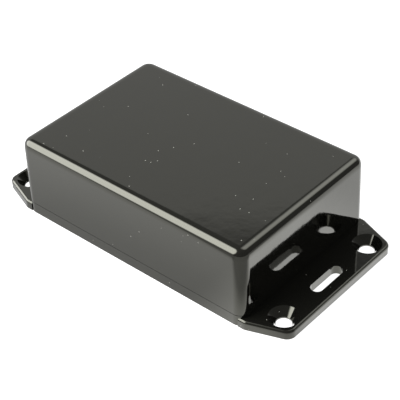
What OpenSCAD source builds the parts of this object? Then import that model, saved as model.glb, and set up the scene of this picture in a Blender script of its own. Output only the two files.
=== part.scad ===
// Flanged project box: a moulded enclosure for a small circuit.
// A deep box stands open side down on a lid whose two ends run out into mounting flanges.
// Four countersunk screws come up through the lid into pillars in the corners of the box.
// X is the long axis, Z is up, and the origin is the centre of the lid's underside.

/* [Box] */
// Length of the box at its rim, without the flanges
body_l = 85; // [65:0.5:150]
// Width of the box at its rim
body_w = 56.3; // [44:0.1:100]
// Height of the closed enclosure
box_h = 25.9; // [18:0.1:45]
// Thickness of the side walls at the rim
wall = 2; // [1.6:0.1:2.6]
// Thickness of the top panel
top_t = 2; // [1.5:0.1:3]
// Radius of the upright outer corners
corner_r = 3.4; // [2.8:0.1:6]
// Radius of the upright inner corners
inner_r = 2; // [1.8:0.1:4]
// Draft of the walls, in degrees
draft = 1; // [0.5:0.1:1.5]
// Rounding of the top edge outside
edge_r = 1.3; // [0.3:0.1:1.6]
// Rounding where the walls meet the top panel inside
inner_edge_r = 0.5; // [0.2:0.1:0.6]

/* [Lid] */
// Height of the lid's rim
rim_h = 3.56; // [3.3:0.02:6]
// Thickness of the lid inside its rim
floor_t = 2; // [1.5:0.1:2.5]
// Open joint line between the two rims, held apart by the screw pads
seam_gap = 0.15; // [0.05:0.05:0.4]
// Height of the lip above the lid's rim
lip_h = 2.2; // [1:0.1:4]
// Thickness of the lip
lip_t = 1.2; // [0.8:0.1:2]
// Clearance between the lip and the walls of the box
lip_gap = 0.15; // [0.1:0.05:0.4]
// Rounding of the lip's upper edge
lip_edge_r = 0.3; // [0.1:0.05:0.5]

/* [Flanges] */
// Reach of each flange beyond the box
flange_reach = 12.75; // [10.5:0.25:25]
// Thickness of the flanges
flange_t = 2.8; // [2:0.1:3.2]
// Distance from the box to the start of each flange's taper
taper_start = 0.25; // [0.1:0.05:2]
// How far each side of a flange comes in towards its outer end
taper_in = 4.58; // [1:0.01:5]
// Radius of the flange corners
flange_corner_r = 3; // [1.5:0.1:5]
// Rounding of the flange's top edge
flange_edge_r = 0.8; // [0.2:0.1:1.2]

/* [Mounting holes] */
// Distance of the hole centres from a flange's outer end
hole_inset_x = 5.5; // [4.8:0.05:6.5]
// Distance of the hole centres from the line of the box's long sides
hole_inset_y = 8.7; // [8:0.05:11]
// Diameter of the holes
hole_d = 4.5; // [3:0.1:5.4]
// Diameter of the countersinks at the top face
sink_d = 8.8; // [7:0.1:9.4]
// Height of the plain bore below each countersink
hole_land = 0.4; // [0.2:0.1:1]
// Width of the slot between the two holes
slot_w = 3.7; // [3:0.1:5]
// Length of the slot over its round ends
slot_l = 12.8; // [6:0.1:16]

/* [Screws and pillars] */
// Distance from the faces of the box to the screw axes
screw_inset = 5; // [4.8:0.1:6]
// Diameter of the pillars
pillar_d = 6.4; // [5.3:0.1:7.7]
// Diameter of the pilot holes in the pillars
pilot_d = 2.5; // [2:0.1:3]
// Depth of the pilot holes
pilot_depth = 10; // [8:0.5:12]
// Diameter of the screw holes through the lid
screw_hole_d = 3.4; // [3.1:0.1:4]
// Diameter of the screw heads
head_d = 5.5; // [5:0.1:6.6]
// Thickness of the straight rim of a screw head
head_rim = 0.2; // [0.1:0.05:0.4]
// Depth of the heads below the lid's underside
head_recess = 0.2; // [0.1:0.05:0.4]
// Clearance round the screws
screw_gap = 0.1; // [0.05:0.05:0.2]
// Length of the screws over their heads
screw_l = 10; // [8:0.5:11]
// Width of each arm of the cross recess
recess_w = 0.8; // [0.5:0.05:1]
// Span of the cross recess
recess_span = 3; // [2:0.1:3.4]
// Depth of the cross recess
recess_depth = 1.3; // [0.8:0.1:1.6]

/* [Board supports] */
// Distance of the standoffs from the ends of the box
standoff_inset_x = 13.5; // [12:0.5:18]
// Distance of the standoffs from the long sides of the box
standoff_inset_y = 11; // [6:0.5:14]
// Diameter of the standoffs
standoff_d = 5; // [4:0.1:6]
// Height of the standoffs below the top panel
standoff_h = 5; // [2:0.5:6]
// Diameter of the standoff holes
standoff_hole_d = 2.2; // [1.5:0.1:2.7]
// Thickness of a card guide rib
rib_t = 1.2; // [0.8:0.1:1.5]
// Depth of the card guide ribs at the rim
rib_depth = 1.6; // [1:0.1:2]
// Width of the groove between the two ribs of a guide
guide_slot = 1.8; // [1.6:0.1:2.4]
// Spacing of the two guides on a long wall
guide_pitch_x = 36; // [20:1:40]
// Spacing of the two guides on an end wall
guide_pitch_y = 20; // [12:1:22]
// Space between the lip and the lower ends of the ribs
rib_clear = 1; // [0.5:0.1:3]

/* [Hidden] */
$fn = 48;

moulded_black = "#1f1f1c";
screw_steel = "#8f9296";

// Extra length of a cutting tool past the face that it opens
cut = 1;
// How far pillars and ribs are rooted into the walls
root = 0.3;
// Steps in the rounding of a small edge
edge_steps = 5;
// How far the flanges' sides lie inside the sides of the box
side_inset = 0.03;
// How far the flanges' corners stand proud of their sides, and how far the sides end short
proud = 0.01;
blend = 0.1;
// How much is skimmed off the flanges' top faces
skim = 0.02;

half_l = body_l / 2;
half_w = body_w / 2;
flange_x = half_l + flange_reach;
// The flanges start where the centres of their root corners lie inside the lid's rim
flange_root_x = half_l - wall - flange_corner_r;
screw_x = half_l - screw_inset;
screw_y = half_w - screw_inset;
hole_x = flange_x - hole_inset_x;
hole_y = half_w - hole_inset_y;

// The box stands on the lid's screw pads, so both are at this height
seat_z = rim_h + seam_gap;
ceiling_z = box_h - top_t;
lip_z = rim_h + lip_h;
rib_z = lip_z + rib_clear;

shank_d = pilot_d - 2 * screw_gap;
screw_top_z = head_recess + screw_l;

QUADRANTS = [[1, 1], [-1, 1], [-1, -1], [1, -1]];

// ---- Outlines -------------------------------------------------------------

// Sharp corners of the +X flange, counter-clockwise from its root
function flange_outline() = [
    [flange_root_x, side_inset - half_w],
    [half_l + taper_start, side_inset - half_w],
    [flange_x, taper_in - half_w],
    [flange_x, half_w - taper_in],
    [half_l + taper_start, half_w - side_inset],
    [flange_root_x, half_w - side_inset]
];

function unit(v) = v / norm(v);
function outward(a, b) = unit([b.y - a.y, a.x - b.x]);

// Centres of the rounded corners of a convex counter-clockwise outline
function corner_centres(outline, r) = [
    for (i = [0 : len(outline) - 1])
        let (
            here = outline[i],
            before = outline[(i + len(outline) - 1) % len(outline)],
            after = outline[(i + 1) % len(outline)],
            n1 = outward(before, here),
            n2 = outward(here, after)
        )
        here - r * (n1 + n2) / (1 + n1 * n2)
];

// ---- Shared shapes --------------------------------------------------------

// Block over a rectangle with round corners. The child is the section of its side, measured
// outward from the corner centres: it runs along every side and turns round every corner.
module rounded_block(margin, r, h) {
    x = half_l - margin - r;
    y = half_w - margin - r;
    translate([-x, -y]) cube([2 * x, 2 * y, h]);
    for (turn = [0 : 3]) {
        reach = turn % 2 == 0 ? [x, y] : [y, x];
        rotate(90 * turn) {
            translate(reach) rotate_extrude(angle = 90) children();
            translate(reach) rotate([90, 0, 0]) linear_extrude(2 * reach.y) children();
        }
    }
}

// Centre of the top edge's rounding in the section of a drafted side, r wide and h high
function edge_centre(r, h, slope, edge) = [
    r - (h - edge) * tan(slope) - edge / cos(slope),
    h - edge
];

// Section of a drafted side whose top edge is a true arc
module side_section(r, h, slope, edge) {
    out = [cos(slope), sin(slope)];
    centre = edge_centre(r, h, slope, edge);
    polygon([[0, 0], [r, 0], centre + edge * out, centre, [centre.x, h], [0, h]]);
    intersection() {
        translate(centre) circle(edge);
        polygon([
            centre,
            centre + 2 * edge * out,
            centre + 2 * edge * [1, 1],
            centre + 2 * edge * [0, 1]
        ]);
    }
}

// The same for a small edge, rounded in steps
module small_edge_section(r, h, slope, edge) {
    centre = edge_centre(r, h, slope, edge);
    polygon([
        [0, 0],
        [r, 0],
        for (step = [0 : edge_steps])
            let (angle = slope + (90 - slope) * step / edge_steps)
            centre + edge * [cos(angle), sin(angle)],
        [0, h]
    ]);
}

// Flat face of a rectangle with round corners
module rounded_face(margin, r) {
    for (q = QUADRANTS) translate([q.x * (half_l - margin - r), q.y * (half_w - margin - r)]) circle(r);
    square([2 * (half_l - margin - r), 2 * (half_w - margin)], center = true);
    square([2 * (half_l - margin), 2 * (half_w - margin - r)], center = true);
}

// Draws the child in all four quadrants, mirrored about the middle of the box
module in_quadrants() {
    for (q = QUADRANTS) scale([q.x, q.y, 1]) children();
}

// Section of the screw pillar in the first quadrant, filled out towards its corner
module pillar_section(reach, gap = 0) {
    r = pillar_d / 2 + gap;
    translate([screw_x, screw_y]) {
        circle(r);
        translate([-r, 0]) square([r + reach, reach]);
        translate([0, -r]) square([reach, r + reach]);
    }
}

// ---- Box ------------------------------------------------------------------

module card_guide(height) {
    for (side = [-1, 1])
        translate([side * (guide_slot + rib_t) / 2, -rib_depth + (rib_depth + root) / 2, height / 2])
            cube([rib_t, rib_depth + root, height], center = true);
}

// The hollow of the box, already less the pillars, standoffs and guides that stand in it
module box_hollow() {
    reach = screw_inset - wall + root;
    height = ceiling_z - rib_z + root;
    difference() {
        translate([0, 0, seat_z])
            rounded_block(wall, inner_r, ceiling_z - seat_z)
                side_section(inner_r, ceiling_z - seat_z, draft, inner_edge_r);
        in_quadrants() {
            translate([0, 0, seat_z - cut])
                linear_extrude(box_h) pillar_section(reach);
            translate([half_l - standoff_inset_x, half_w - standoff_inset_y, ceiling_z - standoff_h])
                cylinder(h = standoff_h + root, d = standoff_d);
            translate([guide_pitch_x / 2, half_w - wall, rib_z]) card_guide(height);
            translate([half_l - wall, guide_pitch_y / 2, rib_z]) rotate(-90) card_guide(height);
        }
    }
}

module box() {
    color(moulded_black)
        difference() {
            translate([0, 0, seat_z])
                rounded_block(0, corner_r, box_h - seat_z)
                    side_section(corner_r, box_h - seat_z, draft, edge_r);
            box_hollow();
            in_quadrants() {
                translate([screw_x, screw_y, seat_z - cut])
                    cylinder(h = pilot_depth + cut, d = pilot_d);
                translate([half_l - standoff_inset_x, half_w - standoff_inset_y, ceiling_z - standoff_h - cut])
                    cylinder(h = standoff_h + cut, d = standoff_hole_d);
            }
        }
}

// ---- Lid ------------------------------------------------------------------

// Everything of the lid that stands up inside the box, before the pillars take their room
module lid_lip() {
    margin = wall + lip_gap;
    r = inner_r - lip_gap;
    height = lip_z - floor_t;
    translate([0, 0, floor_t])
        rounded_block(margin, r, height) small_edge_section(r, height, draft, lip_edge_r);
}

// The shallow pan inside the lip, left solid under each pillar as a screw pad
module lid_pan() {
    margin = wall + lip_gap + lip_t;
    translate([0, 0, floor_t])
        linear_extrude(box_h)
            difference() {
                rounded_face(margin, inner_r - lip_gap);
                in_quadrants() pillar_section(screw_inset);
            }
}

// Bore with a countersink that opens at the flange's top face
module mounting_hole() {
    rotate_extrude()
        polygon([
            [0, -cut],
            [hole_d / 2, -cut],
            [hole_d / 2, hole_land],
            [sink_d / 2, flange_t],
            [sink_d / 2, flange_t + cut],
            [0, flange_t + cut]
        ]);
}

module mounting_slot() {
    end = (slot_l - slot_w) / 2;
    translate([0, 0, -cut])
        linear_extrude(flange_t + 2 * cut) {
            for (side = [-1, 1]) translate([0, side * end]) circle(d = slot_w);
            square([slot_w, 2 * end], center = true);
        }
}

// Clearance for a screw from beneath: a straight rim, a 90 degree cone and a bore
module screw_clearance() {
    rim_r = head_d / 2 + screw_gap;
    bore_r = screw_hole_d / 2;
    rim_top = head_recess + head_rim;
    rotate_extrude()
        polygon([
            [0, -cut],
            [rim_r, -cut],
            [rim_r, rim_top],
            [bore_r, rim_top + rim_r - bore_r],
            [bore_r, seat_z + cut],
            [0, seat_z + cut]
        ]);
}

// Rounded side of a flange, up to a little short of the corner centres at its two ends
module flange_side(length) {
    h = flange_t + skim;
    translate([0, 0, blend])
        linear_extrude(length - 2 * blend) {
            small_edge_section(flange_corner_r, h, 0, flange_edge_r);
            translate([-root, 0]) square([2 * root, h]);
        }
}

// One mounting flange, at the +X end and rooted in the lid's rim. Its corners are full turns,
// a hair proud of the sides, so that their faces cross instead of grazing. The top is skimmed
// to one level.
module flange() {
    h = flange_t + skim;
    centres = corner_centres(flange_outline(), flange_corner_r);
    last = len(centres) - 2;
    difference() {
        union() {
            linear_extrude(h) polygon(centres);
            for (i = [0 : last]) {
                run = centres[i + 1] - centres[i];
                translate(centres[i + 1])
                    rotate([90, 0, atan2(run.y, run.x) - 90]) flange_side(norm(run));
            }
            for (i = [1 : last])
                translate(centres[i])
                    rotate_extrude()
                        small_edge_section(flange_corner_r + proud, h, 0, flange_edge_r);
        }
        translate([0, -half_w, flange_t]) cube([2 * flange_x, body_w, cut]);
        for (side = [-1, 1]) translate([hole_x, side * hole_y, 0]) mounting_hole();
        translate([hole_x, 0, 0]) mounting_slot();
    }
}

module flanged_lid() {
    color(moulded_black)
        difference() {
            union() {
                linear_extrude(rim_h) rounded_face(0, corner_r);
                lid_lip();
                for (side = [1, -1]) scale([side, 1, 1]) flange();
            }
            lid_pan();
            in_quadrants() {
                translate([0, 0, seat_z])
                    linear_extrude(box_h) pillar_section(screw_inset, lip_gap);
                translate([screw_x, screw_y, 0]) screw_clearance();
            }
        }
}

// ---- Screws ---------------------------------------------------------------

module cross_recess() {
    intersection() {
        cylinder(h = recess_depth, d1 = recess_span, d2 = recess_w);
        for (turn = [0, 90])
            rotate(turn)
                translate([-recess_span, -recess_w / 2, -cut])
                    cube([2 * recess_span, recess_w, 2 * recess_depth + cut]);
    }
}

module lid_screw() {
    rim_top = head_recess + head_rim;
    cone_h = (head_d - shank_d) / 2;
    color(screw_steel)
        difference() {
            union() {
                translate([0, 0, head_recess]) cylinder(h = head_rim, d = head_d);
                translate([0, 0, rim_top]) cylinder(h = cone_h, d1 = head_d, d2 = shank_d);
                translate([0, 0, rim_top]) cylinder(h = screw_l - head_rim - shank_d / 2, d = shank_d);
                translate([0, 0, screw_top_z - shank_d / 2])
                    cylinder(h = shank_d / 2, d1 = shank_d, d2 = shank_d / 2);
            }
            translate([0, 0, head_recess]) cross_recess();
        }
}

// ---------------------------------------------------------------------------

box();
flanged_lid();
for (i = [0 : len(QUADRANTS) - 1])
    translate([QUADRANTS[i].x * screw_x, QUADRANTS[i].y * screw_y, 0]) lid_screw();
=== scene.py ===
import math

import bpy
from mathutils import Matrix, Vector


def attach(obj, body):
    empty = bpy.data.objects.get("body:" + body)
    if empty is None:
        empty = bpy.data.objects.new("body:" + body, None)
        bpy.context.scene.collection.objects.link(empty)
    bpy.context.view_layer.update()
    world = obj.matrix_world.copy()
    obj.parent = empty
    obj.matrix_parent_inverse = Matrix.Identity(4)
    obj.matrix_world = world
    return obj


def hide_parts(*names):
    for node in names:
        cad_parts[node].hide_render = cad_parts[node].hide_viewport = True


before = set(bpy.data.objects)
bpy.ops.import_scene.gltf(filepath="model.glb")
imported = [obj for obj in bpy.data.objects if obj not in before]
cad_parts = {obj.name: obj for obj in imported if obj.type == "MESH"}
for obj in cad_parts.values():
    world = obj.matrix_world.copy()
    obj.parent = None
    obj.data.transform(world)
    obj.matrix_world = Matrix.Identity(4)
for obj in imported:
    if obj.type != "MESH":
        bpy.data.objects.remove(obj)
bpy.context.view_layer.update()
bpy.ops.object.select_all(action="DESELECT")

MM = 0.001


# ---- Box ------------------------------------------------------------------------------------
# The deep box: four drafted walls and a top panel, open beneath. It is injection moulded in one
# piece in black ABS from a polished tool, and four screws hold it down on its lid.


def linear(hex_colour):
    """The linear RGBA of an sRGB hex colour such as "#1f1f1c"."""
    channels = [int(hex_colour[i : i + 2], 16) / 255 for i in (1, 3, 5)]
    return [c / 12.92 if c <= 0.04045 else ((c + 0.055) / 1.055) ** 2.4 for c in channels] + [1]


def add_node(tree, kind, inputs=None, **settings):
    """Adds a shader node, sets its properties, and sets or links its inputs."""
    node = tree.nodes.new(kind)
    for name, value in settings.items():
        setattr(node, name, value)
    for name, value in (inputs or {}).items():
        if isinstance(value, bpy.types.NodeSocket):
            tree.links.new(value, node.inputs[name])
        else:
            node.inputs[name].default_value = value
    return node


def new_material(name):
    """An empty material and its node tree."""
    material = bpy.data.materials.new(name)
    material.use_nodes = True
    material.node_tree.nodes.clear()
    return material, material.node_tree


def smooth_step(tree, value, low, high, strength):
    """Rises smoothly from 0 to a strength while a value goes from low to high."""
    return add_node(
        tree,
        "ShaderNodeMapRange",
        {"Value": value, "From Min": low, "From Max": high, "To Min": 0.0, "To Max": strength},
        interpolation_type="SMOOTHSTEP",
    ).outputs["Result"]


def math_node(tree, operation, first, second):
    """The result of a sum, product or comparison of two values."""
    return add_node(tree, "ShaderNodeMath", {0: first, 1: second}, operation=operation).outputs[0]


def moulded_abs():
    """Gloss black ABS as it leaves a polished tool, faintly wavy and a little dusty."""
    material, tree = new_material("moulded_black_abs")
    place = add_node(tree, "ShaderNodeTexCoord").outputs["Object"]
    # Tool marks and slow sink of a thin moulded wall, 3 and 12 mm long
    marks = add_node(
        tree, "ShaderNodeTexNoise", {"Vector": place, "Scale": 1 / (3 * MM), "Detail": 2.0}
    )
    sink = add_node(
        tree, "ShaderNodeTexNoise", {"Vector": place, "Scale": 1 / (12 * MM), "Detail": 1.0}
    )
    fine = add_node(
        tree,
        "ShaderNodeBump",
        {"Height": marks.outputs["Fac"], "Strength": 1.0, "Distance": 0.012 * MM},
    )
    wavy = add_node(
        tree,
        "ShaderNodeBump",
        {
            "Height": sink.outputs["Fac"],
            "Strength": 1.0,
            "Distance": 0.03 * MM,
            "Normal": fine.outputs["Normal"],
        },
    )
    # Dust held by static: pale specks up to 0.3 mm across, about one to a square centimetre
    cells = add_node(tree, "ShaderNodeTexVoronoi", {"Vector": place, "Scale": 1 / (2.8 * MM)})
    speck = math_node(tree, "LESS_THAN", cells.outputs["Distance"], 0.06)
    chosen = add_node(tree, "ShaderNodeSeparateColor", {"Color": cells.outputs["Color"]})
    kept = math_node(tree, "GREATER_THAN", chosen.outputs[0], 0.45)
    dust = math_node(tree, "MULTIPLY", speck, kept)
    # Gloss that varies a little from handling, in patches some 10 mm across
    handling = add_node(
        tree, "ShaderNodeTexNoise", {"Vector": place, "Scale": 1 / (10 * MM), "Detail": 4.0}
    )
    gloss = add_node(
        tree,
        "ShaderNodeMapRange",
        {
            "Value": handling.outputs["Fac"],
            "From Min": 0.3,
            "From Max": 0.7,
            "To Min": 0.03,
            "To Max": 0.07,
        },
    )
    plastic = add_node(
        tree,
        "ShaderNodeBsdfPrincipled",
        {
            "Base Color": linear("#0f0f0d"),
            "Roughness": gloss.outputs["Result"],
            "IOR": 1.54,
            "Specular Tint": (1.0, 1.0, 0.86, 1.0),
            "Normal": wavy.outputs["Normal"],
        },
    )
    speck_shader = add_node(
        tree, "ShaderNodeBsdfPrincipled", {"Base Color": linear("#9a9a92"), "Roughness": 0.9}
    )
    both = add_node(tree, "ShaderNodeMixShader", {"Fac": math_node(tree, "MULTIPLY", dust, 0.6)})
    tree.links.new(plastic.outputs[0], both.inputs[1])
    tree.links.new(speck_shader.outputs[0], both.inputs[2])
    add_node(tree, "ShaderNodeOutputMaterial", {"Surface": both.outputs[0]})
    return material


def select_parts(piece, kind, wanted):
    """Leaves a piece in edit mode with only the faces or edges selected that pass a test."""
    if bpy.context.mode != "OBJECT":
        bpy.ops.object.mode_set(mode="OBJECT")
    bpy.ops.object.select_all(action="DESELECT")
    piece.select_set(True)
    bpy.context.view_layer.objects.active = piece
    mesh = piece.data
    for part in (*mesh.vertices, *mesh.edges, *mesh.polygons):
        part.select = False
    if kind == "FACE":
        for face in mesh.polygons:
            face.select = wanted(face.center / MM, face.normal)
    else:
        for edge in mesh.edges:
            edge.select = wanted(*(mesh.vertices[v].co / MM for v in edge.vertices))
    bpy.ops.object.mode_set(mode="EDIT")
    bpy.ops.mesh.select_mode(type=kind)


def finish_piece(piece, node, material):
    """Puts a modelled piece in its node's place, smooth shaded with its flat faces kept flat."""
    bpy.ops.mesh.select_all(action="SELECT")
    bpy.ops.mesh.normals_make_consistent(inside=False)
    bpy.ops.object.mode_set(mode="OBJECT")
    bpy.ops.object.shade_smooth_by_angle(angle=math.radians(40))
    bpy.ops.object.modifier_add(type="WEIGHTED_NORMAL")
    piece.modifiers[-1].keep_sharp = True
    bpy.ops.object.modifier_apply(modifier=piece.modifiers[-1].name)
    piece.data.materials.append(material)
    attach(piece, "root")
    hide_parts(node)


black_abs = moulded_abs()

# Millimetres: the rim that meets the lid and the top, the rim's size, and how far the walls draw
# in at the top, which is a draft of half a degree
RIM_Z, TOP_Z = 3.71, 25.9
RIM_SIZE = (85, 56.3)
DRAW_IN = (0.9955, 0.9932, 1)
WALL = 2
CORNER_R = 3.4
TOP_EDGE = 3.2
ARC_STEPS = 16

middle = Vector((0, 0, (RIM_Z + TOP_Z) / 2)) * MM
bpy.ops.mesh.primitive_cube_add(size=1, location=middle)
box = bpy.context.object
box.name = "box_moulding"
box.scale = Vector((*RIM_SIZE, TOP_Z - RIM_Z)) * MM
bpy.ops.object.transform_apply(location=True, scale=True)
select_parts(box, "FACE", lambda centre, normal: normal.z > 0.9)
bpy.ops.transform.resize(value=DRAW_IN, center_override=(0, 0, TOP_Z * MM))
# The upright corners, then the broad soft edge round the top panel
select_parts(box, "EDGE", lambda a, b: abs(a.z - b.z) > 5)
bpy.ops.mesh.bevel(offset=CORNER_R * MM, segments=ARC_STEPS, affect="EDGES")
select_parts(box, "EDGE", lambda a, b: min(a.z, b.z) > TOP_Z - 0.1)
bpy.ops.mesh.bevel(offset=TOP_EDGE * MM, segments=ARC_STEPS, profile=0.6, affect="EDGES")
# The hollow, one wall thickness in from the sides and the top
select_parts(box, "FACE", lambda centre, normal: normal.z < -0.9)
bpy.ops.mesh.inset(thickness=WALL * MM)
depth = (TOP_Z - RIM_Z - WALL) * MM
bpy.ops.mesh.extrude_region_move(TRANSFORM_OT_translate={"value": (0, 0, depth)})
finish_piece(box, "box", black_abs)


# ---- Flanged lid ----------------------------------------------------------------------------
# The plate that closes the box from beneath, with a mounting flange at each end. It is moulded
# in one piece in the same black ABS, and four screws from beneath hold it to the box.


def finish_node(name, material):
    """Gives a CAD node its material in every slot."""
    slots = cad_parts[name].data.materials
    slots.clear()
    slots.append(material)


finish_node("flanged_lid", black_abs)


# ---- Lid screws -----------------------------------------------------------------------------
# Four countersunk self-tapping screws, zinc plated steel, driven up through the lid.


def zinc_plate():
    """Bright zinc plate on steel, slightly dulled."""
    material, tree = new_material("zinc_plated_steel")
    shader = add_node(
        tree,
        "ShaderNodeBsdfPrincipled",
        {"Base Color": linear("#b9bcc0"), "Roughness": 0.3, "Metallic": 1.0},
    )
    add_node(tree, "ShaderNodeOutputMaterial", {"Surface": shader.outputs["BSDF"]})
    return material


zinc = zinc_plate()
for number in range(1, 5):
    finish_node(f"lid_screw_{number}", zinc)


# ---- Studio ---------------------------------------------------------------------------------
# A white sweep of floor under a soft studio: a large softbox to the front left, a smaller light
# high behind, and a white backdrop at the back left.

# A hair under the lid, which would otherwise share its plane
bpy.ops.mesh.primitive_plane_add(size=6, location=(0, 0, -0.05 * MM))
floor = bpy.context.object
floor.name = "floor"


def white_floor():
    """White to the camera; the gloss mirrors a painted pool of uneven light and shade on it."""
    material, tree = new_material("white_floor")
    path = add_node(tree, "ShaderNodeLightPath")
    place = add_node(tree, "ShaderNodeTexCoord").outputs["Object"]
    along = add_node(tree, "ShaderNodeSeparateXYZ", {"Vector": place}).outputs
    across = add_node(
        tree, "ShaderNodeVectorMath", {0: place, 1: (0.71, -0.71, 0.0)}, operation="DOT_PRODUCT"
    ).outputs["Value"]
    # Painted light: brightest beyond the right end, weaker at the front left, and painted shade
    # towards the viewer
    front = smooth_step(tree, along["Y"], -28 * MM, -55 * MM, 0.55)
    end = smooth_step(tree, along["X"], 20 * MM, 50 * MM, 1.7)
    far = smooth_step(tree, along["Y"], 15 * MM, 45 * MM, 0.55)
    end = math_node(tree, "MULTIPLY", end, math_node(tree, "SUBTRACT", 1.0, far))
    painted_light = math_node(tree, "ADD", math_node(tree, "ADD", front, end), 0.6)
    near = smooth_step(tree, across, 47 * MM, 65 * MM, 0.85)
    painted_light = math_node(tree, "MULTIPLY", painted_light, math_node(tree, "SUBTRACT", 1.0, near))
    seen = math_node(
        tree, "MAXIMUM", path.outputs["Is Camera Ray"], path.outputs["Is Transmission Ray"]
    )
    # Only the gloss sees the painted light and shade; the camera sees plain white
    glow = math_node(
        tree, "ADD", seen, math_node(tree, "MULTIPLY", path.outputs["Is Glossy Ray"], painted_light)
    )
    white = add_node(tree, "ShaderNodeEmission", {"Color": (1, 1, 1, 1), "Strength": glow})
    paint = add_node(tree, "ShaderNodeBsdfDiffuse", {"Color": linear("#8c8c8c")})
    both = add_node(tree, "ShaderNodeAddShader")
    tree.links.new(white.outputs[0], both.inputs[0])
    tree.links.new(paint.outputs[0], both.inputs[1])
    add_node(tree, "ShaderNodeOutputMaterial", {"Surface": both.outputs[0]})
    return material


floor.data.materials.append(white_floor())


def studio_world():
    """White to the camera; lights and mirrors see the softboxes and the backdrop."""
    world = bpy.data.worlds.new("studio")
    world.use_nodes = True
    tree = world.node_tree
    tree.nodes.clear()
    direction = add_node(tree, "ShaderNodeTexCoord").outputs["Generated"]

    def towards(x, y, z):
        """The cosine of the angle between a ray and a direction."""
        unit = Vector((x, y, z)).normalized()
        return add_node(
            tree, "ShaderNodeVectorMath", {0: direction, 1: unit}, operation="DOT_PRODUCT"
        ).outputs["Value"]

    key = smooth_step(tree, towards(-0.62, -0.5, 0.6), 0.77, 0.91, 9.6)
    back = smooth_step(tree, towards(0, 0.6, 0.8), 0.92, 1.0, 3.2)
    low = math_node(tree, "SUBTRACT", 1.0, smooth_step(tree, towards(0, 0, 1), 0.62, 0.66, 1.0))
    backdrop = smooth_step(tree, towards(-0.68, 0.73, 0), 0.3, 0.7, 0.66)
    backdrop = math_node(tree, "MULTIPLY", low, backdrop)
    lights = math_node(tree, "ADD", key, back)
    total = math_node(tree, "ADD", lights, math_node(tree, "ADD", backdrop, 0.25))
    path = add_node(tree, "ShaderNodeLightPath")
    dim = add_node(tree, "ShaderNodeBackground", {"Color": (1, 1, 1, 1), "Strength": total})
    white = add_node(tree, "ShaderNodeBackground", {"Color": (1, 1, 1, 1), "Strength": 1.0})
    mix = add_node(tree, "ShaderNodeMixShader", {"Fac": path.outputs["Is Camera Ray"]})
    tree.links.new(dim.outputs[0], mix.inputs[1])
    tree.links.new(white.outputs[0], mix.inputs[2])
    add_node(tree, "ShaderNodeOutputWorld", {"Surface": mix.outputs[0]})
    return world


bpy.context.scene.world = studio_world()


# ---- Camera ---------------------------------------------------------------------------------
# A long lens, looking down on the near right corner with the long side to the left.

camera = bpy.data.objects.new("camera", bpy.data.cameras.new("camera"))
bpy.context.scene.collection.objects.link(camera)
bpy.context.scene.camera = camera
camera.data.lens = 117.67
camera.data.sensor_width = 36
camera.data.clip_start = 0.01
camera.location = Vector((208.01, -224.04, 248.06)) * MM
aim = Vector((0.557, 2.757, 5.0)) * MM
roll = math.radians(-2.561)
facing = (aim - camera.location).to_track_quat("-Z", "Y").to_matrix()
camera.rotation_euler = (facing @ Matrix.Rotation(roll, 3, "Z")).to_euler()

bpy.context.scene.view_settings.view_transform = "Standard"
